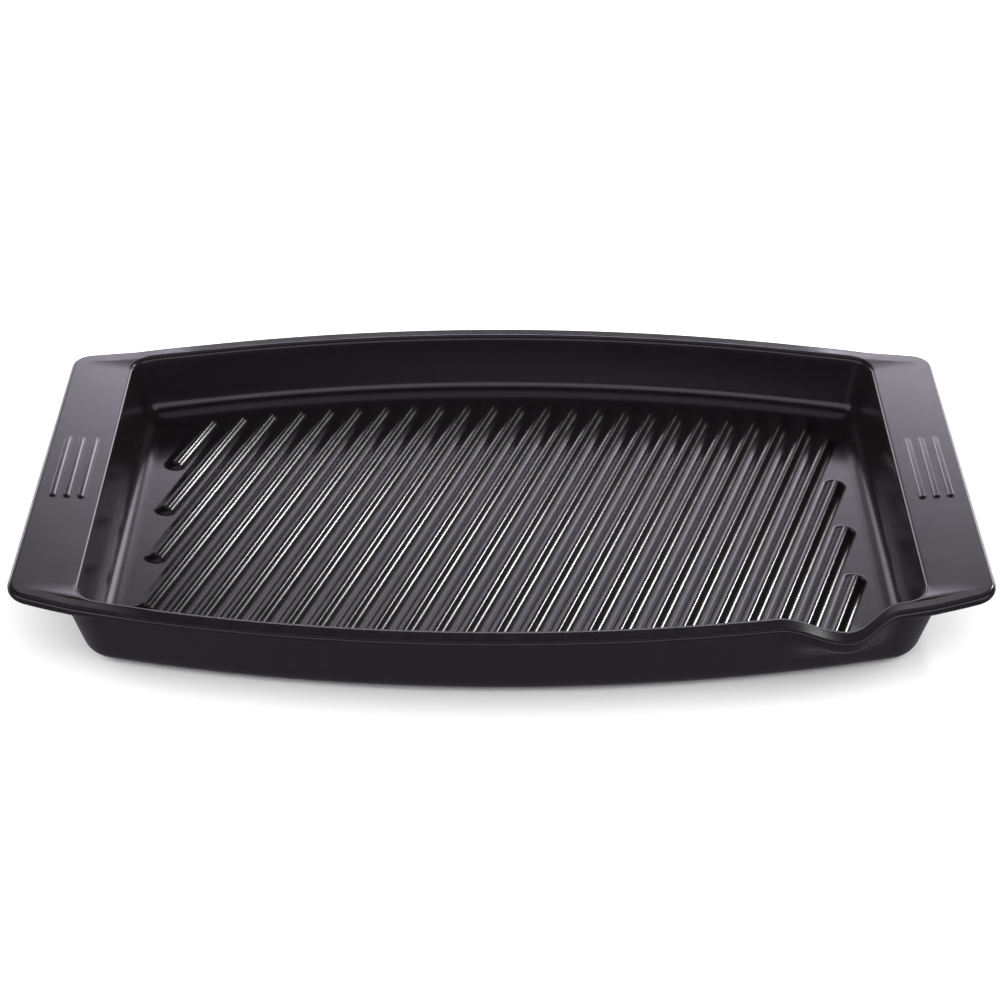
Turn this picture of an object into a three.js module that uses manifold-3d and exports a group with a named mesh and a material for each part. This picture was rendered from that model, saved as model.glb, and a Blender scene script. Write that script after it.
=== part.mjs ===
// Grill pan with two end handles, one glazed piece: a shallow tray with bowed long sides and a
// ribbed floor, flat handles that rise a little outwards, and a pouring lip near one corner.
// Millimetres, +Z up. The origin is on the table under the middle of the pan. X runs from handle
// to handle, and the pouring lip is on the -Y side, towards +X.
//
// The pan is one loft. A side section and an end section have the same number of points, and each
// pair of points makes one ring round the pan: the side section's point on the long sides, the end
// section's on the ends, and a smooth change from one to the other near the corners. In a section,
// u is the distance outwards from the inside edge of the rim and z the height over the table.

import * as THREE from 'three';
import { mergeVertices } from 'three/addons/utils/BufferGeometryUtils.js';
import Module from 'manifold-3d';

const wasm = await Module();
wasm.setup();

const { degToRad, lerp, smoothstep } = THREE.MathUtils;

// Plan
const panLength = 470; // over both handles
const panWidth = 279.6; // over the bowed long sides
const sideRadius = 832; // bow of the long sides
const handleReach = 32.8; // of each handle, from the inside edge of the rim outwards
const cavityCorner = 14; // corners of the rim's inside edge
const cornerMin = 5; // smallest corner that the cavity narrows to at the floor
const wallCorner = 27; // corners of the outer wall, under the handles
const handleCorner = 12.5; // outer corners of the handles

// Tray
const rimHeight = 38.8; // the rim's inside edge over the table, before its rounding
const cavityDepth = 33.3;
const rimWidth = 9.2; // top of the rim on the long sides
const rimSlope = degToRad(5); // fall of that top outwards
const rimEdge = 1.5; // rounding of its outside edge
const endWall = 9.2; // wall under the handle's root
const innerDraft = degToRad(12);
const outerDraft = degToRad(15.2);
const sideFillet = 9.5; // floor to wall, along the long sides
const endFillet = 11; // floor to wall, at the ends
const innerEdge = 2.5; // rounding of the rim's inside edge
const baseEdge = 10; // rounding from the outer wall to the underside
const footWidth = 9; // ring that the pan stands on
const footHeight = 1;

// Handles
const handleThickness = 5;
const handleRise = 2.5; // lift of the outer edge over the rim
const handleEdge = 2.2; // rounding of the handle's edges
const edgeShare = 0.45; // largest rounding, as a share of the handle's thickness
const rootFillet = 4; // under the handle, to the wall
const bandStart = 0.4; // from the rounding of the inside edge to the band round pan and handle
const rimRun = 30; // length before the corner over which the rim's top becomes the handle's
const undersideRun = 14; // and, up to the handle's root, over which its underside fades out
const filletRun = 48; // and over which the floor's fillet widens

// Pouring lip
const lipPlace = 164; // along X
const lipInward = 36.5; // from its lowest point to its end towards the middle of the pan
const lipOutward = 23.5; // and to its end towards the corner
const lipReach = 9; // outwards
const lipDip = 5.5; // downwards
const lipShoulder = 6; // the lip keeps its full size down to this depth below the rim
const lipDepth = 24; // and has faded into the wall at this one

// Ribs
const ribPitch = 15; // along X
const ribAngle = degToRad(20); // from the Y axis
const ribOffset = 0.3; // of the middle rib's line from the middle of the pan, along X
const ribHeight = 2.5;
const ribTop = 1.6; // width of the flat top
const ribFlank = 5; // width of each flank, seen from above
const ribEndMargin = 11.2; // from the floor's edge at the ends to the centre of a rib's round end
const ribSideMargin = 9.2; // and from its edge at the long sides
const ribShortest = 6; // between the centres of the two round ends

// Grip ridges on the handles
const gripCount = 3;
const gripPitch = 7;
const gripLength = 50;
const gripTop = 1.4;
const gripFlank = 1.2;
const gripHeight = 1;

// Fineness of the facets
const sideSteps = 18; // along a plain long side
const lipSteps = 14; // extra ones across the pouring lip
const cornerSteps = 8;
const flankPart = 0.5; // of a handle's corner steps, those along its straight flank
const endSteps = 4;
const filletSteps = 4;
const edgeSteps = 3;
const wallSteps = 4;
const ridgeEndSteps = 5; // round a ridge's end
const ridgeFlankSteps = 4; // up a ridge's flank
const buried = 1; // depth to which a ridge's solid reaches into the pan

const glaze = new THREE.MeshStandardMaterial({ color: 0x2b292e, roughness: 0.38, metalness: 0 });

const halfLength = panLength / 2;
const halfWidth = panWidth / 2;
const cavityHalfLength = halfLength - handleReach;
const cavityHalfWidth = halfWidth - rimWidth;
const floorHeight = rimHeight - cavityDepth;
const handleSlope = handleRise / handleReach;

// ---- Sections ----

const at = (u, z) => new THREE.Vector2(u, z);

// The points of a straight run, without its first point.
function run(from, to, steps) {
  const points = [];
  for (let i = 1; i <= steps; i++) points.push(from.clone().lerp(to, i / steps));
  return points;
}

// The points of an arc from a start point, turned about a centre through a sweep.
function arc(centre, start, sweep, steps) {
  const points = [];
  for (let i = 0; i <= steps; i++) points.push(start.clone().rotateAround(centre, (sweep * i) / steps));
  return points;
}

// A corner rounded to a radius: the points of its arc, from the side of one neighbour to the other.
function rounded(before, corner, after, radius, steps) {
  const back = before.clone().sub(corner).normalize();
  const ahead = after.clone().sub(corner).normalize();
  const halfAngle = Math.acos(back.dot(ahead)) / 2;
  const turn = Math.sign(ahead.cross(back)) * (Math.PI - 2 * halfAngle);
  const centre = back.clone().add(ahead).normalize();
  centre.multiplyScalar(radius / Math.sin(halfAngle)).add(corner);
  return arc(centre, back.multiplyScalar(radius / Math.tan(halfAngle)).add(corner), turn, steps);
}

const rimCorner = at(0, rimHeight); // of the inside wall and the rim's or the handle's top
const innerWallAt = (z) => at((z - rimHeight) * Math.tan(innerDraft), z);
const outerWallAt = (top, z) => at(top - (rimHeight - z) * Math.tan(outerDraft), z);

// From the floor up the inside wall. The floor lies inwards of the wall's foot, level with it.
function insideSection(fillet, wallEnd) {
  const foot = innerWallAt(floorHeight);
  const arcPoints = rounded(at(foot.x - fillet, foot.y), foot, rimCorner, fillet, filletSteps);
  return [...arcPoints, ...run(arcPoints.at(-1), wallEnd, wallSteps)];
}

// From the start of the outer wall down to the underside and over the foot ring.
function outsideSection(top, start) {
  const base = outerWallAt(top, 0);
  const ringInner = at(base.x - baseEdge - footWidth, 0);
  const recess = at(ringInner.x - footHeight, footHeight);
  const baseArc = rounded(start, base, ringInner, baseEdge, filletSteps);
  return [...run(start, baseArc[0], wallSteps), ...baseArc.slice(1), ringInner, recess];
}

// The handle: flat top, round edge, underside and the fillet to the wall.
const handleTip = at(handleReach, rimHeight + handleRise);
const handleLow = at(handleReach, handleTip.y - handleThickness);
const handleRoot = outerWallAt(endWall, rimHeight - handleThickness);
const wallBelow = outerWallAt(endWall, 0);
const rootTopArc = rounded(innerWallAt(floorHeight), rimCorner, handleTip, innerEdge, edgeSteps);
const tipEdge = Math.min(handleEdge, handleThickness * edgeShare);
const tipArc = rounded(rimCorner, handleTip, handleLow, tipEdge, edgeSteps);
const lowArc = rounded(handleTip, handleLow, handleRoot, tipEdge, edgeSteps);
const rootArc = rounded(handleLow, handleRoot, wallBelow, rootFillet, edgeSteps);

// The long side: the rim's top falls outwards to a small round edge, whose widest point is the
// rim's outside, and the drafted wall runs down from that edge.
const slopeAt = (u) => at(u, rimHeight - u * Math.tan(rimSlope));
const rimArc = rounded(innerWallAt(floorHeight), rimCorner, slopeAt(rimWidth), innerEdge, edgeSteps);
const edgeX = rimWidth - rimEdge;
const edgeCentre = at(edgeX, slopeAt(edgeX).y - rimEdge / Math.cos(rimSlope));
const slopeEnd = at(0, rimEdge).rotateAround(at(0, 0), -rimSlope).add(edgeCentre);
const edgeSweep = rimSlope - Math.PI / 2 - outerDraft;
const edgeArc = arc(edgeCentre, slopeEnd, edgeSweep, edgeSteps);
const sideWall = edgeArc.at(-1).x + (rimHeight - edgeArc.at(-1).y) * Math.tan(outerDraft);
const underRim = outerWallAt(sideWall, rootArc.at(-1).y);

// The top of the long side's rim runs on as a band of the same width along the handle's edge.
const rimBand = slopeAt(rimArc.at(-1).x + bandStart);
const handleBand = tipArc[0].clone().lerp(rimCorner, (slopeEnd.x - rimBand.x) / tipArc[0].x);

const trayRing = (fade) => (side, end) => ({ side, end, fade, onHandle: false });
const handleRing = (fade) => (side, end) => ({ side, end, fade, onHandle: true });
const pair = (sides, ends, ring) => sides.map((side, i) => ring(side, ends[i]));

const inside = insideSection(sideFillet, rimArc[0]);
const endInside = insideSection(endFillet, rootTopArc[0]);
const besideHandle = run(edgeArc.at(-1), underRim, lowArc.length + rootArc.length);
const outside = outsideSection(sideWall, underRim);
const endOutside = outsideSection(endWall, rootArc.at(-1));
const rings = [
  ...pair(inside, endInside, trayRing('floor')),
  ...pair(rimArc.slice(1), rootTopArc.slice(1), trayRing('top')),
  ...pair([rimBand, ...edgeArc], [handleBand, ...tipArc], handleRing('top')),
  ...pair(besideHandle.slice(0, lowArc.length), lowArc, handleRing('under')),
  ...pair(besideHandle.slice(lowArc.length), rootArc, trayRing('under')),
  ...pair(outside, endOutside, trayRing('under')),
];

// ---- Plan ----

// The outline of one ring: bowed sides, straight ends and round corners.
function outline(length, width, corner) {
  const radius = sideRadius - (halfWidth - width);
  const centreY = width - radius;
  const cornerX = length - corner;
  const cornerRise = Math.sqrt((radius - corner) ** 2 - cornerX ** 2);
  return {
    length,
    radius,
    centreY,
    corner,
    cornerX,
    cornerY: centreY + cornerRise,
    turn: Math.atan2(cornerRise, cornerX),
    sideEnd: (cornerX * radius) / (radius - corner),
  };
}

const onSide = (line, x) => at(x, line.centreY + Math.sqrt(line.radius ** 2 - x ** 2));

function onCorner(line, share) {
  const angle = line.turn * (1 - share);
  return at(Math.cos(angle), Math.sin(angle)).multiplyScalar(line.corner).add(at(line.cornerX, line.cornerY));
}

// Stations round the pan, seen from above and anticlockwise from the +X end.
function stations() {
  const list = [];
  const cavityLine = outline(cavityHalfLength, cavityHalfWidth, cavityCorner);
  const lipStart = (lipPlace - lipInward) / cavityLine.sideEnd;
  const add = (kind, share, flipX, flipY) => list.push({ kind, share, flipX, flipY });
  for (let i = 0; i < endSteps; i++) add('end', (2 * i) / endSteps - 1, 1, 1);
  for (let i = cornerSteps; i > 0; i--) add('corner', i / cornerSteps, 1, 1);
  for (let i = 0; i < sideSteps; i++) add('side', 1 - (2 * i) / sideSteps, 1, 1);
  for (let i = 0; i < cornerSteps; i++) add('corner', i / cornerSteps, -1, 1);
  for (let i = 0; i < endSteps; i++) add('end', (2 * i) / endSteps - 1, -1, -1);
  for (let i = cornerSteps; i > 0; i--) add('corner', i / cornerSteps, -1, -1);
  for (let i = 0; i < sideSteps; i++) add('side', lerp(-1, lipStart, i / sideSteps), 1, -1);
  for (let i = 0; i < lipSteps; i++) add('side', lerp(lipStart, 1, i / lipSteps), 1, -1);
  for (let i = 0; i < cornerSteps; i++) add('corner', i / cornerSteps, 1, -1);
  for (const station of list) station.reach = Math.abs(place(station, cavityLine).x);
  return list;
}

// Where a station lies on an outline. On a handle's outline the corner block also takes in the
// handle's straight flank, so that the sides of all rings keep the same stations.
function place(station, line, flankFrom = line.sideEnd) {
  const flankShare = flankFrom < line.sideEnd ? flankPart : 0;
  let point;
  if (station.kind === 'side') {
    point = onSide(line, station.share * flankFrom);
  } else if (station.kind === 'end') {
    point = at(line.length, station.share * line.cornerY);
  } else if (station.share < flankShare) {
    point = onSide(line, lerp(flankFrom, line.sideEnd, station.share / flankShare));
  } else {
    point = onCorner(line, (station.share - flankShare) / (1 - flankShare));
  }
  return at(point.x * station.flipX, point.y * station.flipY);
}

// The pouring lip: a smooth bulge outwards and down that fades into the wall below.
function pourLip(point) {
  const fromLip = point.x - lipPlace;
  const offset = fromLip / (fromLip < 0 ? lipInward : lipOutward);
  if (point.y > 0 || Math.abs(offset) >= 1) return;
  const bell = (1 + Math.cos(Math.PI * offset)) / 2;
  const size = bell * smoothstep(point.z, rimHeight - lipDepth, rimHeight - lipShoulder);
  point.y -= lipReach * size;
  point.z -= lipDip * size;
}

// The stretches of X over which the rings change from the side section to the end section.
const traySideEnd = outline(cavityHalfLength, cavityHalfWidth, cavityCorner).sideEnd;
const fades = {
  floor: { start: cavityHalfLength - filletRun, end: cavityHalfLength },
  top: { start: traySideEnd - rimRun, end: traySideEnd },
  under: { start: cavityHalfLength - undersideRun, end: cavityHalfLength },
};

// The points of one ring. A handle's flanks rise from its root as its top does.
function ringPoints(ring, stationList) {
  const { side, end, fade, onHandle } = ring;
  const inset = handleReach - end.x;
  let corner = Math.max(cornerMin, cavityCorner + end.x);
  if (fade === 'under') corner = wallCorner + end.x - endWall;
  if (onHandle) corner = handleCorner - inset;
  return stationList.map((station) => {
    const share = smoothstep(station.reach, fades[fade].start, fades[fade].end);
    const sideWidth = cavityHalfWidth + side.x;
    const width = onHandle ? lerp(sideWidth, halfWidth - inset, share) : sideWidth;
    const line = outline(cavityHalfLength + end.x, width, corner);
    const plan = place(station, line, onHandle ? traySideEnd : undefined);
    const shortfall = onHandle ? line.length - Math.max(Math.abs(plan.x), cavityHalfLength) : 0;
    const endZ = end.y - handleSlope * shortfall;
    const point = new THREE.Vector3(plan.x, plan.y, lerp(side.y, endZ, share));
    pourLip(point);
    return point;
  });
}

// ---- Solids ----

function toSolid(positions, triangles) {
  return new wasm.Manifold(
    new wasm.Mesh({
      numProp: 3,
      vertProperties: new Float32Array(positions.flatMap((point) => point.toArray())),
      triVerts: new Uint32Array(triangles.flat()),
    }),
  );
}

// A closed solid through a list of rings, from the lowest inside one to the last, which faces up.
// Each ring runs anticlockwise seen from above. The two end rings are closed by flat fans.
function loft(ringList) {
  const count = ringList[0].length;
  const lastRing = (ringList.length - 1) * count;
  const underCentre = ringList.length * count;
  const topCentre = underCentre + 1;
  const triangles = [];
  for (let i = 0; i < count; i++) {
    const next = (i + 1) % count;
    for (let ring = 0; ring < lastRing; ring += count) {
      triangles.push([ring + i, ring + next, ring + count + next]);
      triangles.push([ring + i, ring + count + next, ring + count + i]);
    }
    triangles.push([underCentre, next, i]);
    triangles.push([topCentre, lastRing + i, lastRing + next]);
  }
  return toSolid([...ringList.flat(), middle(ringList[0]), middle(ringList.at(-1))], triangles);
}

function middle(ring) {
  const sum = ring.reduce((total, point) => total.add(point), new THREE.Vector3());
  return sum.divideScalar(ring.length);
}

// A straight ridge with round ends and S-shaped flanks, standing on a flat surface.
function ridge(from, to, surface, topWidth, flank, height) {
  const heading = Math.atan2(to.y - from.y, to.x - from.x);
  const capsule = (radius, z) => {
    const points = [];
    for (const [centre, first] of [[to, heading - Math.PI / 2], [from, heading + Math.PI / 2]]) {
      for (let i = 0; i <= ridgeEndSteps; i++) {
        const angle = first + (Math.PI * i) / ridgeEndSteps;
        const x = centre.x + radius * Math.cos(angle);
        points.push(new THREE.Vector3(x, centre.y + radius * Math.sin(angle), z));
      }
    }
    return points;
  };
  const levels = [capsule(topWidth / 2 + flank, surface - buried)];
  for (let i = 0; i <= ridgeFlankSteps; i++) {
    const share = i / ridgeFlankSteps;
    const radius = topWidth / 2 + flank * (1 - share);
    levels.push(capsule(radius, surface + height * smoothstep(share, 0, 1)));
  }
  return loft(levels);
}

// The centres of the ribs' round ends lie on or inside this outline.
function ribField() {
  const floorEdge = rings[0];
  const length = cavityHalfLength + floorEdge.end.x - ribEndMargin;
  const width = cavityHalfWidth + floorEdge.side.x - ribSideMargin;
  return { length, width, radius: sideRadius - (halfWidth - width) };
}

// The stretch of one rib's line inside the rib field, as its two end points: the line meets the
// arcs of the two long sides, whose centres lie at -centreY and centreY, and the two ends.
function ribSpan(lineX, field) {
  const slope = Math.tan(ribAngle);
  const centreY = field.radius - field.width;
  const meetArc = (arcCentre, direction) => {
    const half = (arcCentre - lineX * slope) / (1 + slope ** 2);
    const rest = (lineX ** 2 + arcCentre ** 2 - field.radius ** 2) / (1 + slope ** 2);
    return half + direction * Math.sqrt(half ** 2 - rest);
  };
  const low = Math.max(meetArc(centreY, -1), (-field.length - lineX) / slope);
  const high = Math.min(meetArc(-centreY, 1), (field.length - lineX) / slope);
  if (high - low < ribShortest) return null;
  return [low, high].map((y) => at(lineX + y * slope, y));
}

function addRibs(pan) {
  const field = ribField();
  const lines = Math.ceil((field.length + field.width * Math.tan(ribAngle)) / ribPitch);
  let solid = pan;
  for (let i = -lines; i <= lines; i++) {
    const span = ribSpan(ribOffset + i * ribPitch, field);
    if (!span) continue;
    solid = solid.add(ridge(...span, floorHeight, ribTop, ribFlank, ribHeight));
  }
  return solid;
}

function addGrips(pan) {
  let solid = pan;
  for (const side of [-1, 1]) {
    for (let i = 0; i < gripCount; i++) {
      const u = handleReach / 2 + (i - (gripCount - 1) / 2) * gripPitch;
      const x = side * (cavityHalfLength + u);
      const ends = [at(x, -gripLength / 2), at(x, gripLength / 2)];
      const surface = rimHeight + handleSlope * u;
      solid = solid.add(ridge(...ends, surface, gripTop, gripFlank, gripHeight));
    }
  }
  return solid;
}

function toGeometry(solid) {
  const { vertProperties, triVerts } = solid.getMesh();
  const geometry = new THREE.BufferGeometry();
  geometry.setAttribute('position', new THREE.BufferAttribute(vertProperties, 3));
  geometry.setIndex(new THREE.BufferAttribute(triVerts, 1));
  const merged = mergeVertices(geometry);
  merged.computeVertexNormals();
  return merged;
}

const stationList = stations();
const shell = loft(rings.map((ring) => ringPoints(ring, stationList)).reverse());
const pan = addGrips(addRibs(shell));

const grillPan = new THREE.Mesh(toGeometry(pan), glaze);
grillPan.name = 'grill_pan';

const group = new THREE.Group();
group.add(grillPan);

export default group;
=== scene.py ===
"""A grill pan of glazed stoneware on a pale studio floor.

The pan is one piece: a shallow tray with bowed long sides and a ribbed floor, flat end handles
that rise a little outwards, and a pouring lip near one corner. Its sizes are in millimetres, and
its length and width come from the frame's box. The mesh is made in millimetres and scaled to metres
last.

The tray is one loft. A side section and an end section have the same number of points, and each
pair of points makes one ring round the pan: the side section's point on the long sides, the end
section's on the ends, and a smooth change from one to the other near the corners. In a section, u
is the distance outwards from the inside edge of the rim and z the height over the table.
"""

import math

import bpy
import numpy as np
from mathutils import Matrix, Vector


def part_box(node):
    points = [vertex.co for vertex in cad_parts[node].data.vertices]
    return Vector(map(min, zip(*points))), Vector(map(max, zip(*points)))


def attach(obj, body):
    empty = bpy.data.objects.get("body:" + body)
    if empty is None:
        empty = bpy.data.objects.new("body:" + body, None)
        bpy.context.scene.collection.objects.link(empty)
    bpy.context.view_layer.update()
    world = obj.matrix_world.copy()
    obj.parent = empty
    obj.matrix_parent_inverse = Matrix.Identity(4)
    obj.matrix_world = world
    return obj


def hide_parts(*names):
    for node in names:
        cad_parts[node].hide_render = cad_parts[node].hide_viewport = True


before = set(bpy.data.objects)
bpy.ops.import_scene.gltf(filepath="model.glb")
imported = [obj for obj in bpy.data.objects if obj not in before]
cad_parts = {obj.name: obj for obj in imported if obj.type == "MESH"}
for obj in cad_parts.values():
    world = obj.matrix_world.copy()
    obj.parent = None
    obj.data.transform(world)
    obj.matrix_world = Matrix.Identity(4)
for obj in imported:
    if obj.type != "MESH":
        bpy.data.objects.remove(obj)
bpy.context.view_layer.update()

MM = 0.001
PAN_CORNER = np.array(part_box("grill_pan")[1]) / MM

# ---- Sizes in millimetres ----

# Plan
HALF_LENGTH = PAN_CORNER[0]
HALF_WIDTH = PAN_CORNER[1]
SIDE_RADIUS = 832.0  # bow of the long sides
HANDLE_REACH = 32.8  # from the inside edge of the rim outwards
CAVITY_CORNER = 14.0  # radius seen from above, at the inside edge of the rim
CORNER_MIN = 5.0  # and the smallest, at the floor
WALL_CORNER = 27.0
HANDLE_CORNER = 12.5
CAVITY_HALF_LENGTH = HALF_LENGTH - HANDLE_REACH

# Tray
RIM_HEIGHT = 38.8  # of the inside edge, before its rounding
CAVITY_DEPTH = 33.3
RIM_WIDTH = 9.2
RIM_SLOPE = math.radians(5)
RIM_EDGE = 1.5
END_WALL = 9.2
INNER_DRAFT = math.radians(12)
OUTER_DRAFT = math.radians(15.2)
SIDE_FILLET = 9.5
END_FILLET = 11.0
INNER_EDGE = 2.5
BASE_EDGE = 10.0
FOOT_WIDTH = 9.0
FOOT_HEIGHT = 1.0
CAVITY_HALF_WIDTH = HALF_WIDTH - RIM_WIDTH
FLOOR_HEIGHT = RIM_HEIGHT - CAVITY_DEPTH

# Handles
HANDLE_THICKNESS = 5.0
HANDLE_RISE = 2.5
HANDLE_EDGE = 2.2
ROOT_FILLET = 4.0
BAND_START = 0.4  # from the rounding of the inside edge to the band round pan and handle
RIM_RUN = 30.0  # before the corner, where the rim's top becomes the handle's
UNDERSIDE_RUN = 14.0  # up to the handle's root, where its underside fades out
FILLET_RUN = 48.0  # and where the floor's fillet widens

# Pouring lip
LIP_PLACE = 164.0
LIP_INWARD = 36.5  # from its lowest point to its end towards the middle of the pan
LIP_OUTWARD = 23.5  # and to its end towards the corner
LIP_REACH = 9.0  # outwards
LIP_DIP = 5.5  # downwards
LIP_SHOULDER = 6.0  # the lip keeps its full size down to this depth below the rim
LIP_DEPTH = 24.0  # and has faded into the wall at this one

# Ribs
RIB_PITCH = 15.0  # along X
RIB_ANGLE = math.radians(20)  # from the Y axis
RIB_OFFSET = 0.3
RIB_HEIGHT = 2.9
RIB_SLOPE = math.radians(43)  # of the flanks
RIB_CROWN = 3.6  # radius over the top
RIB_FOOT = 5.8  # radius into the floor
RIB_SHIFT = 0.7  # of the whole field to the right
RIB_BACK_RISE = 0.3  # how much nearer to the wall the back ends lie
RIB_BACK_SHIFT = 12.0  # of the arc of the back ends to the right
RIB_CAP = 0.8  # length of a rib's round end, as a share of its half width
RIB_END_MARGIN = 9.6  # from the floor's edge at the ends to the centre of a rib's round end
RIB_SIDE_MARGIN = 5.5  # and from its edge at the long sides
RIB_SHORTEST = 6.0  # between the centres of the two round ends

# Grip ridges on the handles
GRIP_COUNT = 3
GRIP_PITCH = 7.0
GRIP_LENGTH = 50.0
GRIP_TOP = 1.4
GRIP_FLANK = 1.2
GRIP_HEIGHT = 1.0

# Fineness
SIDE_STEPS = 64
LIP_STEPS = 56
CORNER_STEPS = 24
FLANK_PART = 0.5  # of a handle's corner steps, those along its straight flank
END_STEPS = 20
FILLET_STEPS = 12
EDGE_STEPS = 8
BAND_STEPS = 8
WALL_STEPS = 8
RIDGE_END_STEPS = 16
RIB_FOOT_STEPS = 12
RIB_CROWN_STEPS = 12
GRIP_FLANK_STEPS = 14
CROWN_GAP = 0.01  # angle from a rib's last crown line to its middle, which a fan closes
APRON = 0.6  # skirt round a ridge's foot
APRON_DROP = 0.01  # a hair under the surface that it stands on
BURIED = 1.0  # depth of a ridge's underside in that surface

# ---- Camera ----

CAMERA_PLACE = (0.00015, -0.9279, 0.6834)
CAMERA_AIM = (-0.00085, 0.8131, -0.5821)
LENS = 79.53
SENSOR = 36.0


def make_camera():
    """A long lens in front of the pan that looks down on its middle."""
    data = bpy.data.cameras.new("studio_camera")
    data.sensor_fit = "HORIZONTAL"
    data.sensor_width = SENSOR
    data.lens = LENS
    camera = bpy.data.objects.new("studio_camera", data)
    camera.location = CAMERA_PLACE
    camera.rotation_euler = Vector(CAMERA_AIM).to_track_quat("-Z", "Y").to_euler()
    bpy.context.scene.collection.objects.link(camera)
    bpy.context.scene.camera = camera


# ---- Sections ----


def unit(vector):
    return vector / np.linalg.norm(vector)


def smoothstep(value, low, high):
    """0 below low, 1 above high, and 3 t^2 - 2 t^3 between them."""
    share = np.clip((value - low) / (high - low), 0, 1)
    return share * share * (3 - 2 * share)


def lerp(low, high, share):
    return low + (high - low) * share


def run(start, end, steps):
    """Equal steps along a straight line, without its first point."""
    return np.linspace(start, end, steps + 1)[1:]


def arc(centre, start, sweep, steps):
    """A start point turned about a centre through equal angles."""
    x, y = start - centre
    angle = math.atan2(y, x) + np.linspace(0, sweep, steps + 1)
    return centre + math.hypot(x, y) * np.stack([np.cos(angle), np.sin(angle)], axis=1)


def rounded(before, corner, after, radius, steps):
    """A corner's arc: its centre is on the corner's bisector, at the radius over the sine of half
    its angle, and it starts at the tangent point, at the radius over that half angle's tangent."""
    back, ahead = unit(before - corner), unit(after - corner)
    half_angle = math.acos(back @ ahead) / 2
    turn = np.sign(ahead[0] * back[1] - ahead[1] * back[0]) * (math.pi - 2 * half_angle)
    centre = corner + unit(back + ahead) * radius / math.sin(half_angle)
    return arc(centre, corner + back * radius / math.tan(half_angle), turn, steps)


RIM_CORNER = np.array([0, RIM_HEIGHT])


def inner_wall(z):
    return np.array([(z - RIM_HEIGHT) * math.tan(INNER_DRAFT), z])


def outer_wall(top, z):
    return np.array([top - (RIM_HEIGHT - z) * math.tan(OUTER_DRAFT), z])


def inside_section(fillet, wall_end):
    """From the floor up the inside wall."""
    foot = inner_wall(FLOOR_HEIGHT)
    bottom = rounded(foot - (fillet, 0), foot, RIM_CORNER, fillet, FILLET_STEPS)
    return np.vstack([bottom, run(bottom[-1], wall_end, WALL_STEPS)])


def outside_section(top, start):
    """From the start of the outer wall down to the underside and over the foot ring."""
    base = outer_wall(top, 0)
    ring_inner = base - (BASE_EDGE + FOOT_WIDTH, 0)
    recess = ring_inner + (-FOOT_HEIGHT, FOOT_HEIGHT)
    edge = rounded(start, base, ring_inner, BASE_EDGE, FILLET_STEPS)
    return np.vstack([run(start, edge[0], WALL_STEPS), edge[1:], ring_inner, recess])


def sections():
    """The two sections, point for point, with each point's marks: the fade that its ring follows
    (0 the floor's, 1 the top's, 2 the underside's) and whether it follows the handle's outline."""
    # The handle: flat top, round edge, underside and the fillet to the wall.
    tip = np.array([HANDLE_REACH, RIM_HEIGHT + HANDLE_RISE])
    low = tip - (0, HANDLE_THICKNESS)
    root = outer_wall(END_WALL, RIM_HEIGHT - HANDLE_THICKNESS)
    root_top_arc = rounded(inner_wall(FLOOR_HEIGHT), RIM_CORNER, tip, INNER_EDGE, EDGE_STEPS)
    tip_arc = rounded(RIM_CORNER, tip, low, HANDLE_EDGE, EDGE_STEPS)
    low_arc = rounded(tip, low, root, HANDLE_EDGE, EDGE_STEPS)
    root_arc = rounded(low, root, outer_wall(END_WALL, 0), ROOT_FILLET, EDGE_STEPS)

    # The long side: the rim's top falls outwards to a small round edge, whose widest point is the
    # rim's outside, and the drafted wall runs down from that edge.
    fall = math.tan(RIM_SLOPE)
    slope_foot = RIM_CORNER + (RIM_WIDTH, -RIM_WIDTH * fall)
    rim_arc = rounded(inner_wall(FLOOR_HEIGHT), RIM_CORNER, slope_foot, INNER_EDGE, EDGE_STEPS)
    edge_x = RIM_WIDTH - RIM_EDGE
    edge_centre = RIM_CORNER + (edge_x, -edge_x * fall - RIM_EDGE / math.cos(RIM_SLOPE))
    slope_end = edge_centre + RIM_EDGE * np.array([math.sin(RIM_SLOPE), math.cos(RIM_SLOPE)])
    edge_arc = arc(edge_centre, slope_end, RIM_SLOPE - math.pi / 2 - OUTER_DRAFT, EDGE_STEPS)
    wall_top = edge_arc[-1, 0] + (RIM_HEIGHT - edge_arc[-1, 1]) * math.tan(OUTER_DRAFT)
    under_rim = outer_wall(wall_top, root_arc[-1, 1])

    # The top of the long side's rim runs on as a band of the same width along the handle's edge.
    rim_band = rim_arc[-1] + (BAND_START, -BAND_START * fall)
    handle_band = lerp(tip_arc[0], RIM_CORNER, (slope_end[0] - rim_band[0]) / tip_arc[0, 0])

    side = [
        inside_section(SIDE_FILLET, rim_arc[0]), rim_arc[1:],
        np.linspace(rim_band, slope_end, BAND_STEPS + 1), edge_arc[1:],
        run(edge_arc[-1], under_rim, len(low_arc) + len(root_arc)),
        outside_section(wall_top, under_rim),
    ]
    end = [
        inside_section(END_FILLET, root_top_arc[0]), root_top_arc[1:],
        np.linspace(handle_band, tip_arc[0], BAND_STEPS + 1), tip_arc[1:],
        low_arc, root_arc, outside_section(END_WALL, root_arc[-1]),
    ]
    counts = [len(part) for part in end]
    fade = np.repeat([0, 1, 1, 1, 2, 2, 2], counts)
    on_handle = np.repeat([False, False, True, True, True, False, False], counts)
    return np.vstack(side), np.vstack(end), fade, on_handle


# ---- Plan ----

TINY = 1e-9  # keeps a quotient finite where there is no flank


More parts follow.
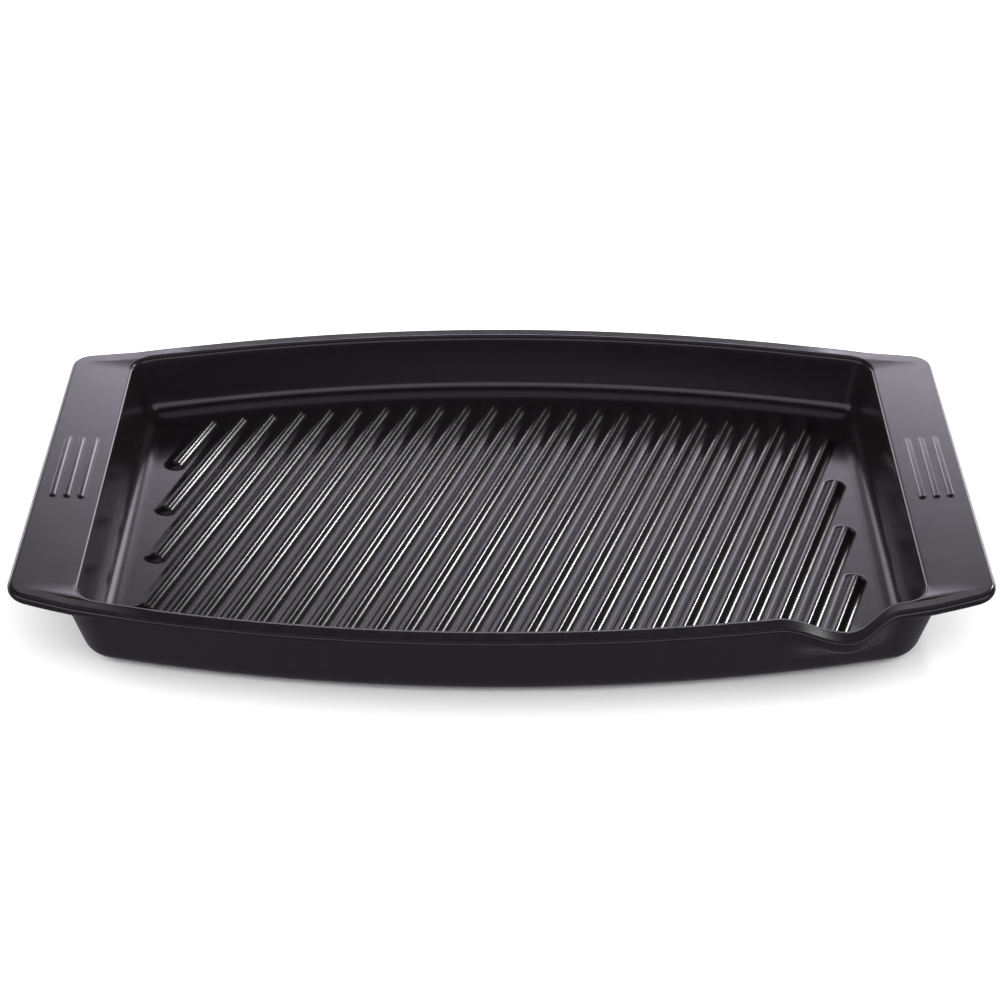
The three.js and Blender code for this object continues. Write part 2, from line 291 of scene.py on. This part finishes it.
def outline(length, width, corner):
    """Bowed sides, straight ends and round corners: the radius and centre of the side's arc, the
    corner arc's centre and the X where the side's arc ends."""
    radius = SIDE_RADIUS - (HALF_WIDTH - width)
    corner_x = length - corner
    rise = np.sqrt((radius - corner) ** 2 - corner_x ** 2)
    centre_y = width - radius
    return {
        "length": length,
        "radius": radius,
        "centre_y": centre_y,
        "corner": corner,
        "corner_x": corner_x,
        "corner_y": centre_y + rise,
        "turn": np.arctan2(rise, corner_x),
        "side_end": corner_x * radius / (radius - corner),
    }


def stations():
    """The stretches round the pan, anticlockwise from the +X end: for each point its kind, its
    share of the stretch, and the signs that mirror the first quadrant to its own."""
    cavity = outline(CAVITY_HALF_LENGTH, CAVITY_HALF_WIDTH, CAVITY_CORNER)
    lip_start = (LIP_PLACE - LIP_INWARD) / cavity["side_end"]
    rising = np.arange(CORNER_STEPS) / CORNER_STEPS
    falling = 1 - rising
    across = 2 * np.arange(END_STEPS) / END_STEPS - 1
    back = 1 - 2 * np.arange(SIDE_STEPS) / SIDE_STEPS
    front = lerp(-1, lip_start, np.arange(SIDE_STEPS) / SIDE_STEPS)
    lip = lerp(lip_start, 1, np.arange(LIP_STEPS) / LIP_STEPS)
    stretches = [
        ("end", across, 1, 1), ("corner", falling, 1, 1), ("side", back, 1, 1),
        ("corner", rising, -1, 1), ("end", across, -1, -1), ("corner", falling, -1, -1),
        ("side", front, 1, -1), ("side", lip, 1, -1), ("corner", rising, 1, -1),
    ]
    kind = np.concatenate([np.full(len(share), name) for name, share, _, _ in stretches])
    share = np.concatenate([share for _, share, _, _ in stretches])
    flip_x = np.concatenate([np.full(len(share), x) for _, share, x, _ in stretches])
    flip_y = np.concatenate([np.full(len(share), y) for _, share, _, y in stretches])
    return kind, share, flip_x, flip_y


def place(station_list, line, flank_from, flank_share):
    """Where the stations lie on the rings' outlines, as arrays of rings by stations. A side's point
    is on the side's arc, an end's on the straight end, and a corner's on the stretch of the side
    that is left over, for the first flank_share of the corner, and then on its arc."""
    kind, share, flip_x, flip_y = station_list
    is_flank = (kind == "corner") & (share < flank_share)
    along_flank = share / np.maximum(flank_share, share + TINY)
    flank_x = lerp(flank_from, line["side_end"], along_flank)
    side_x = np.where(is_flank, flank_x, share * flank_from)
    side_y = line["centre_y"] + np.sqrt(line["radius"] ** 2 - side_x ** 2)
    angle = line["turn"] * (1 - (share - flank_share) / (1 - flank_share))
    corner_x = line["corner_x"] + line["corner"] * np.cos(angle)
    corner_y = line["corner_y"] + line["corner"] * np.sin(angle)
    on_side = is_flank | (kind == "side")
    x = np.select([on_side, kind == "end"], [side_x, line["length"]], corner_x)
    y = np.select([on_side, kind == "end"], [side_y, share * line["corner_y"]], corner_y)
    return x * flip_x, y * flip_y


def pour_lip(x, y, z):
    """A bell that pushes the front wall out and its rim down, half a cosine wave each way from the
    lip's middle, and fades out down the wall."""
    offset = np.clip((x - LIP_PLACE) / np.where(x < LIP_PLACE, LIP_INWARD, LIP_OUTWARD), -1, 1)
    bell = np.where(y < 0, (1 + np.cos(math.pi * offset)) / 2, 0)
    size = bell * smoothstep(z, RIM_HEIGHT - LIP_DEPTH, RIM_HEIGHT - LIP_SHOULDER)
    return x, y - LIP_REACH * size, z - LIP_DIP * size


def tray_rings():
    """All rings of the tray, as an array of rings by stations by three."""
    side, end, fade, on_handle = (part[:, None] for part in sections())
    side_u, side_z, end_u, end_z = side[..., 0], side[..., 1], end[..., 0], end[..., 1]
    station_list = stations()
    cavity = outline(CAVITY_HALF_LENGTH, CAVITY_HALF_WIDTH, CAVITY_CORNER)
    reach = np.abs(place(station_list, cavity, cavity["side_end"], 0)[0])
    fade_end = np.choose(fade, [CAVITY_HALF_LENGTH, cavity["side_end"], CAVITY_HALF_LENGTH])
    fade_run = np.choose(fade, [FILLET_RUN, RIM_RUN, UNDERSIDE_RUN])
    share = smoothstep(reach, fade_end - fade_run, fade_end)

    inset = HANDLE_REACH - end_u
    corner = np.maximum(CORNER_MIN, CAVITY_CORNER + end_u)
    corner = np.where(fade == 2, WALL_CORNER + end_u - END_WALL, corner)
    corner = np.where(on_handle, HANDLE_CORNER - inset, corner)
    side_width = CAVITY_HALF_WIDTH + side_u
    width = np.where(on_handle, lerp(side_width, HALF_WIDTH - inset, share), side_width)
    line = outline(CAVITY_HALF_LENGTH + end_u, width, corner)
    flank_from = np.where(on_handle, cavity["side_end"], line["side_end"])
    x, y = place(station_list, line, flank_from, np.where(on_handle, FLANK_PART, 0))

    # A handle's flanks rise from its root as its top does.
    shortfall = CAVITY_HALF_LENGTH + end_u - np.maximum(np.abs(x), CAVITY_HALF_LENGTH)
    end_z = end_z - np.where(on_handle, shortfall * HANDLE_RISE / HANDLE_REACH, 0)
    return np.stack(pour_lip(x, y, lerp(side_z, end_z, share)), axis=-1)


# ---- Closed shells ----


def loft(rings):
    """A closed shell through rings that run anticlockwise seen from above and are given from the
    lowest, which faces down, to the last, which faces up. A fan closes each end."""
    ring_count, count, _ = rings.shape
    points = np.vstack([rings.reshape(-1, 3), rings[0].mean(axis=0), rings[-1].mean(axis=0)])
    here = np.arange(count)
    after = np.roll(here, -1)
    lower = np.arange(ring_count - 1)[:, None] * count
    upper = lower + count
    walls = np.stack([lower + here, lower + after, upper + after, upper + here], axis=-1)
    under = np.stack([np.full(count, len(points) - 2), after, here], axis=-1)
    last = (ring_count - 1) * count
    top = np.stack([np.full(count, len(points) - 1), last + here, last + after], axis=-1)
    return points, [walls.reshape(-1, 4), under, top]


def ridge(start, end, surface, section, cap=1.0):
    """A straight ridge with round ends: capsules round the line from start to end. Their radius
    and height follow a half section, given from its foot to its top. The ends are half ellipses,
    cap times as long as the radius."""
    along = unit(np.subtract(end, start))
    left = np.array([-along[1], along[0]])
    turn = np.linspace(-math.pi / 2, math.pi / 2, RIDGE_END_STEPS + 1)
    turn = np.concatenate([turn, turn + math.pi])[:, None]
    centres = np.repeat([end, start], RIDGE_END_STEPS + 1, axis=0)
    radius, height = section
    radius = np.concatenate([[radius[0] + APRON] * 2, radius])
    z = surface + np.concatenate([[-BURIED, -APRON_DROP], height])
    plan = centres + radius[:, None, None] * (cap * np.cos(turn) * along + np.sin(turn) * left)
    levels = np.broadcast_to(z[:, None, None], plan.shape[:2] + (1,))
    return loft(np.concatenate([plan, levels], axis=2))


def rib_section():
    """A rib's half section: an arc out of the floor up to the flank's slope, a straight flank, and
    an arc from that slope to level over the crown."""
    foot = np.linspace(0, RIB_SLOPE, RIB_FOOT_STEPS + 1)
    crown = np.linspace(RIB_SLOPE, CROWN_GAP, RIB_CROWN_STEPS + 1)
    rise = (RIB_FOOT + RIB_CROWN) * (1 - math.cos(RIB_SLOPE))
    flank = (RIB_HEIGHT - rise) / math.tan(RIB_SLOPE)
    half_width = (RIB_FOOT + RIB_CROWN) * math.sin(RIB_SLOPE) + flank
    radius = np.concatenate([half_width - RIB_FOOT * np.sin(foot), RIB_CROWN * np.sin(crown)])
    crown_height = RIB_HEIGHT - RIB_CROWN * (1 - np.cos(crown))
    height = np.concatenate([RIB_FOOT * (1 - np.cos(foot)), crown_height])
    return radius, height


def grip_section():
    """A flank that rises by 3 t^2 - 2 t^3 to a flat top, with its lines closer at foot and top."""
    share = smoothstep(np.linspace(0, 1, GRIP_FLANK_STEPS + 1), 0, 1)
    return GRIP_TOP / 2 + GRIP_FLANK * (1 - share), GRIP_HEIGHT * smoothstep(share, 0, 1)


def rib_span(line_x, half_length, half_width):
    """The stretch of one rib's line inside the rib field, moved with the field by RIB_SHIFT: where
    the line meets the arcs of the two long sides, or the two ends. It crosses a circle about
    (0, arc_centre) at the roots of a quadratic in y."""
    slope = math.tan(RIB_ANGLE)
    radius = SIDE_RADIUS - (HALF_WIDTH - half_width)

    def meet_arc(arc_centre, from_centre, direction):
        half = (arc_centre - from_centre * slope) / (1 + slope ** 2)
        rest = (from_centre ** 2 + arc_centre ** 2 - radius ** 2) / (1 + slope ** 2)
        return half + direction * math.sqrt(half ** 2 - rest)

    front = meet_arc(radius - half_width, line_x, -1)
    back = meet_arc(half_width + RIB_BACK_RISE - radius, line_x - RIB_BACK_SHIFT, 1)
    low = max(front, (-half_length - line_x) / slope)
    high = min(back, (half_length - line_x) / slope)
    if high - low < RIB_SHORTEST:
        return None
    return [(line_x + y * slope + RIB_SHIFT, y) for y in (low, high)]


def ribs():
    """The ribs of the floor, one closed ridge each."""
    side, end, _, _ = sections()
    half_length = CAVITY_HALF_LENGTH + end[0, 0] - RIB_END_MARGIN
    half_width = CAVITY_HALF_WIDTH + side[0, 0] - RIB_SIDE_MARGIN
    lines = math.ceil((half_length + half_width * math.tan(RIB_ANGLE)) / RIB_PITCH)
    places = RIB_OFFSET - RIB_SHIFT + RIB_PITCH * np.arange(-lines, lines + 1)
    spans = [rib_span(line_x, half_length, half_width) for line_x in places]
    section = rib_section()
    return [ridge(start, end, FLOOR_HEIGHT, section, RIB_CAP) for start, end in filter(None, spans)]


def grips():
    """Plain ridges across the middle of each handle."""
    shells = []
    for side in (-1, 1):
        for i in range(GRIP_COUNT):
            u = HANDLE_REACH / 2 + (i - (GRIP_COUNT - 1) / 2) * GRIP_PITCH
            surface = RIM_HEIGHT + HANDLE_RISE * u / HANDLE_REACH
            x = side * (CAVITY_HALF_LENGTH + u)
            ends = (x, -GRIP_LENGTH / 2), (x, GRIP_LENGTH / 2)
            shells.append(ridge(*ends, surface, grip_section()))
    return shells


def make_piece(name, shells, material):
    """One smooth mesh object at the origin from closed shells, in metres."""
    points, faces, first = [], [], 0
    for shell_points, face_lists in shells:
        points.append(shell_points)
        for face_list in face_lists:
            faces.extend((face_list + first).tolist())
        first += len(shell_points)
    mesh = bpy.data.meshes.new(name)
    mesh.from_pydata((np.vstack(points) * MM).tolist(), [], faces)
    mesh.polygons.foreach_set("use_smooth", [True] * len(mesh.polygons))
    mesh.materials.append(material)
    mesh.update()
    piece = bpy.data.objects.new(name, mesh)
    bpy.context.scene.collection.objects.link(piece)
    return piece


# ---- Materials ----

GLAZE_IOR = 1.5
GLAZE_DARK = (0.0038, 0.0030, 0.0036, 1)
GLAZE_LIGHT = (0.0050, 0.0040, 0.0047, 1)
GLAZE_ROUGHNESS = (0.16, 0.24)

# A noise's scale, in waves to the metre, and its detail
TINT_NOISE = (60, 3)
ROUGHNESS_NOISE = (110, 4)
WAVE_NOISE = (120, 1)
PEEL_NOISE = (420, 0)

# Depths in metres
WAVE_DEPTH = 0.00002
PEEL_DEPTH = 0.000002


def black_glaze():
    """Satin black glaze: a fine orange peel over slow waves, and a tint and a roughness that drift
    a little."""
    material = bpy.data.materials.new("black_glaze")
    material.use_nodes = True
    nodes, links = material.node_tree.nodes, material.node_tree.links
    shader = nodes["Principled BSDF"]
    shader.inputs["IOR"].default_value = GLAZE_IOR
    place_on_pan = nodes.new("ShaderNodeTexCoord").outputs["Object"]

    def noise(scale, detail):
        texture = nodes.new("ShaderNodeTexNoise")
        texture.inputs["Scale"].default_value = scale
        texture.inputs["Detail"].default_value = detail
        links.new(place_on_pan, texture.inputs["Vector"])
        return texture.outputs["Fac"]

    def spread(value, low, high):
        ramp = nodes.new("ShaderNodeMapRange")
        ramp.inputs["To Min"].default_value = low
        ramp.inputs["To Max"].default_value = high
        links.new(value, ramp.inputs["Value"])
        return ramp.outputs["Result"]

    def bump(height, depth, below=None):
        node = nodes.new("ShaderNodeBump")
        node.inputs["Distance"].default_value = depth
        links.new(height, node.inputs["Height"])
        if below:
            links.new(below, node.inputs["Normal"])
        return node.outputs["Normal"]

    tint = nodes.new("ShaderNodeMix")
    tint.data_type = "RGBA"
    tint.inputs["A"].default_value = GLAZE_DARK
    tint.inputs["B"].default_value = GLAZE_LIGHT
    links.new(noise(*TINT_NOISE), tint.inputs["Factor"])
    links.new(tint.outputs["Result"], shader.inputs["Base Color"])
    links.new(spread(noise(*ROUGHNESS_NOISE), *GLAZE_ROUGHNESS), shader.inputs["Roughness"])
    waves = bump(noise(*WAVE_NOISE), WAVE_DEPTH)
    links.new(bump(noise(*PEEL_NOISE), PEEL_DEPTH, waves), shader.inputs["Normal"])
    return material


def pale_floor():
    """Plain matt light grey."""
    material = bpy.data.materials.new("pale_floor")
    material.use_nodes = True
    shader = material.node_tree.nodes["Principled BSDF"]
    shader.inputs["Base Color"].default_value = (0.82, 0.82, 0.82, 1)
    shader.inputs["Roughness"].default_value = 0.9
    shader.inputs["Specular IOR Level"].default_value = 0.1
    return material


# ---- Studio ----

FLOOR_REACH = 6.0  # metres from the pan to the floor's edges

# The air and the mirrored room are functions of a direction: x to the right, y away from the camera
# and z upwards. A pair says where a light is gone and where it is full, along one of the three.
AIR_STRENGTH = 1.4
FRONT_LOSS = 0.95  # of the air's strength, low down in front
FRONT_LOSS_Y = (-0.1, -0.6)
FRONT_LOSS_Z = (0.85, 0.4)
SIDE_GAIN = 2.5  # added to the air's strength at either side
SIDE_GAIN_X = (0.4, 0.9)

ROOM_TINT = (0.93, 0.87, 1, 1)
PANEL_Y = (0, 0.2)
PANEL_PLACE = 0.03  # x of the middle of the panel behind
PANEL_SIDE = (0.30, 0.08)  # from that middle
PANEL_FOOT = (0.43, 0.50)
BAND_HEAD = (0.57, 0.50)  # top of the panel's bright band
PANEL_HEAD = (0.71, 0.61)  # and of its dim part
BAND_GLOW = 9.5
PANEL_GLOW = 1.0
FRONT_Y = (-0.1, -0.4)
FRONT_FOOT = (0, 0.1)
FRONT_HEAD = (0.6, 0.4)
FRONT_GLOW = 1.8
LOW_Y = (0.3, 0.6)
LOW_FOOT = (-0.02, 0.02)
LOW_HEAD = (0.17, 0.12)
LOW_GLOW = 3.5
FLOOR_Z = (0, -0.1)
FLOOR_GLOW = 0.22

# Round glows: direction, the angles in degrees out to which each is full and at all seen, strength
GLOWS = [
    ((0.58, 0.80, 0.12), 8, 20, 2.8),
    ((-0.58, 0.80, 0.12), 6, 20, 2.0),
    ((0.53, 0.80, 0.28), 6, 11, 2.2),
    ((0.28, 0.86, 0.42), 4, 12, 1.5),
    ((-0.53, 0.80, 0.28), 5, 10, 1.1),
    ((-0.28, 0.86, 0.42), 4, 12, 1.2),
    ((0, 0, 1), 10, 35, 0.5),
]


def make_floor():
    """A pale floor under the pan, far wider than the camera sees. The glaze doesn't mirror it."""
    mesh = bpy.data.meshes.new("studio_floor")
    signs = [(-1, -1), (1, -1), (1, 1), (-1, 1)]
    corners = [(x * FLOOR_REACH, y * FLOOR_REACH, 0) for x, y in signs]
    mesh.from_pydata(corners, [], [(0, 1, 2, 3)])
    mesh.materials.append(pale_floor())
    floor = bpy.data.objects.new("studio_floor", mesh)
    floor.visible_glossy = False
    bpy.context.scene.collection.objects.link(floor)


def soft_box(name, towards, distance, width, height, watts):
    """A rectangular light that faces the pan from a direction."""
    data = bpy.data.lights.new(name, "AREA")
    data.shape = "RECTANGLE"
    data.size = width
    data.size_y = height
    data.energy = watts
    light = bpy.data.objects.new(name, data)
    direction = Vector(towards).normalized()
    light.location = direction * distance
    light.rotation_euler = direction.to_track_quat("Z", "Y").to_euler()
    bpy.context.scene.collection.objects.link(light)


def studio_air():
    """White air that lights the pan and the floor from all round, weaker low down in front and
    stronger at the sides. The glaze mirrors another room, the sum of its lights: a panel behind the
    pan with a bright band at its foot, a bright line behind just over the floor, a dim wall behind
    the camera, a dim floor and the round glows, and darkness between them."""
    world = bpy.data.worlds.new("studio_air")
    world.use_nodes = True
    bpy.context.scene.world = world
    nodes, links = world.node_tree.nodes, world.node_tree.links
    white = nodes["Background"]
    white.inputs["Color"].default_value = (1, 1, 1, 1)
    direction = nodes.new("ShaderNodeTexCoord").outputs["Generated"]
    split = nodes.new("ShaderNodeSeparateXYZ")
    links.new(direction, split.inputs["Vector"])

    def math_node(operation, *values):
        node = nodes.new("ShaderNodeMath")
        node.operation = operation
        for socket, value in zip(node.inputs, values):
            if isinstance(value, (int, float)):
                socket.default_value = value
            else:
                links.new(value, socket)
        return node.outputs["Value"]

    def fade(value, start, end, height=1.0):
        """0 at start and height at end, smooth between them."""
        ramp = nodes.new("ShaderNodeMapRange")
        ramp.interpolation_type = "SMOOTHSTEP"
        ramp.inputs["From Min"].default_value = min(start, end)
        ramp.inputs["From Max"].default_value = max(start, end)
        ramp.inputs["To Min"].default_value = 0 if start < end else height
        ramp.inputs["To Max"].default_value = height if start < end else 0
        links.new(value, ramp.inputs["Value"])
        return ramp.outputs["Result"]

    def product(*factors):
        total = factors[0]
        for factor in factors[1:]:
            total = math_node("MULTIPLY", total, factor)
        return total

    def glow(towards, inner, outer, strength):
        """A round glow about a direction, full out to one angle and gone at another, in degrees."""
        node = nodes.new("ShaderNodeVectorMath")
        node.operation = "DOT_PRODUCT"
        links.new(direction, node.inputs[0])
        node.inputs[1].default_value = Vector(towards).normalized()
        cosines = (math.cos(math.radians(angle)) for angle in (outer, inner))
        return fade(node.outputs["Value"], *cosines, strength)

    x, y, z = (split.outputs[axis] for axis in "XYZ")
    low_in_front = product(fade(y, *FRONT_LOSS_Y), fade(z, *FRONT_LOSS_Z, FRONT_LOSS))
    beside = fade(math_node("ABSOLUTE", x), *SIDE_GAIN_X, SIDE_GAIN)
    share = math_node("ADD", math_node("SUBTRACT", 1, low_in_front), beside)
    links.new(math_node("MULTIPLY", share, AIR_STRENGTH), white.inputs["Strength"])

    sideways = math_node("ABSOLUTE", math_node("SUBTRACT", x, PANEL_PLACE))
    panel = math_node("ADD", fade(z, *BAND_HEAD, BAND_GLOW), fade(z, *PANEL_HEAD, PANEL_GLOW))
    parts = [
        product(fade(y, *PANEL_Y), fade(sideways, *PANEL_SIDE), fade(z, *PANEL_FOOT), panel),
        product(fade(y, *FRONT_Y), fade(z, *FRONT_FOOT), fade(z, *FRONT_HEAD, FRONT_GLOW)),
        product(fade(y, *LOW_Y), fade(z, *LOW_FOOT), fade(z, *LOW_HEAD, LOW_GLOW)),
        fade(z, *FLOOR_Z, FLOOR_GLOW),
    ] + [glow(*values) for values in GLOWS]
    total = parts[0]
    for part in parts[1:]:
        total = math_node("ADD", total, part)
    mirrored = nodes.new("ShaderNodeBackground")
    mirrored.inputs["Color"].default_value = ROOM_TINT
    links.new(total, mirrored.inputs["Strength"])
    mix = nodes.new("ShaderNodeMixShader")
    links.new(nodes.new("ShaderNodeLightPath").outputs["Is Glossy Ray"], mix.inputs["Fac"])
    links.new(white.outputs["Background"], mix.inputs[1])
    links.new(mirrored.outputs["Background"], mix.inputs[2])
    links.new(mix.outputs["Shader"], nodes["World Output"].inputs["Surface"])


make_camera()
bpy.context.scene.view_settings.view_transform = "Standard"

pan = make_piece("glazed_pan", [loft(tray_rings()[::-1])] + ribs() + grips(), black_glaze())
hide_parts("grill_pan")
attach(pan, "root")

make_floor()
soft_box("key_light", (0.57, 0.56, 0.60), distance=2.2, width=0.16, height=0.16, watts=12)
soft_box("back_light", (-0.25, 0.91, 0.32), distance=2.6, width=1.2, height=0.5, watts=0.4)
studio_air()
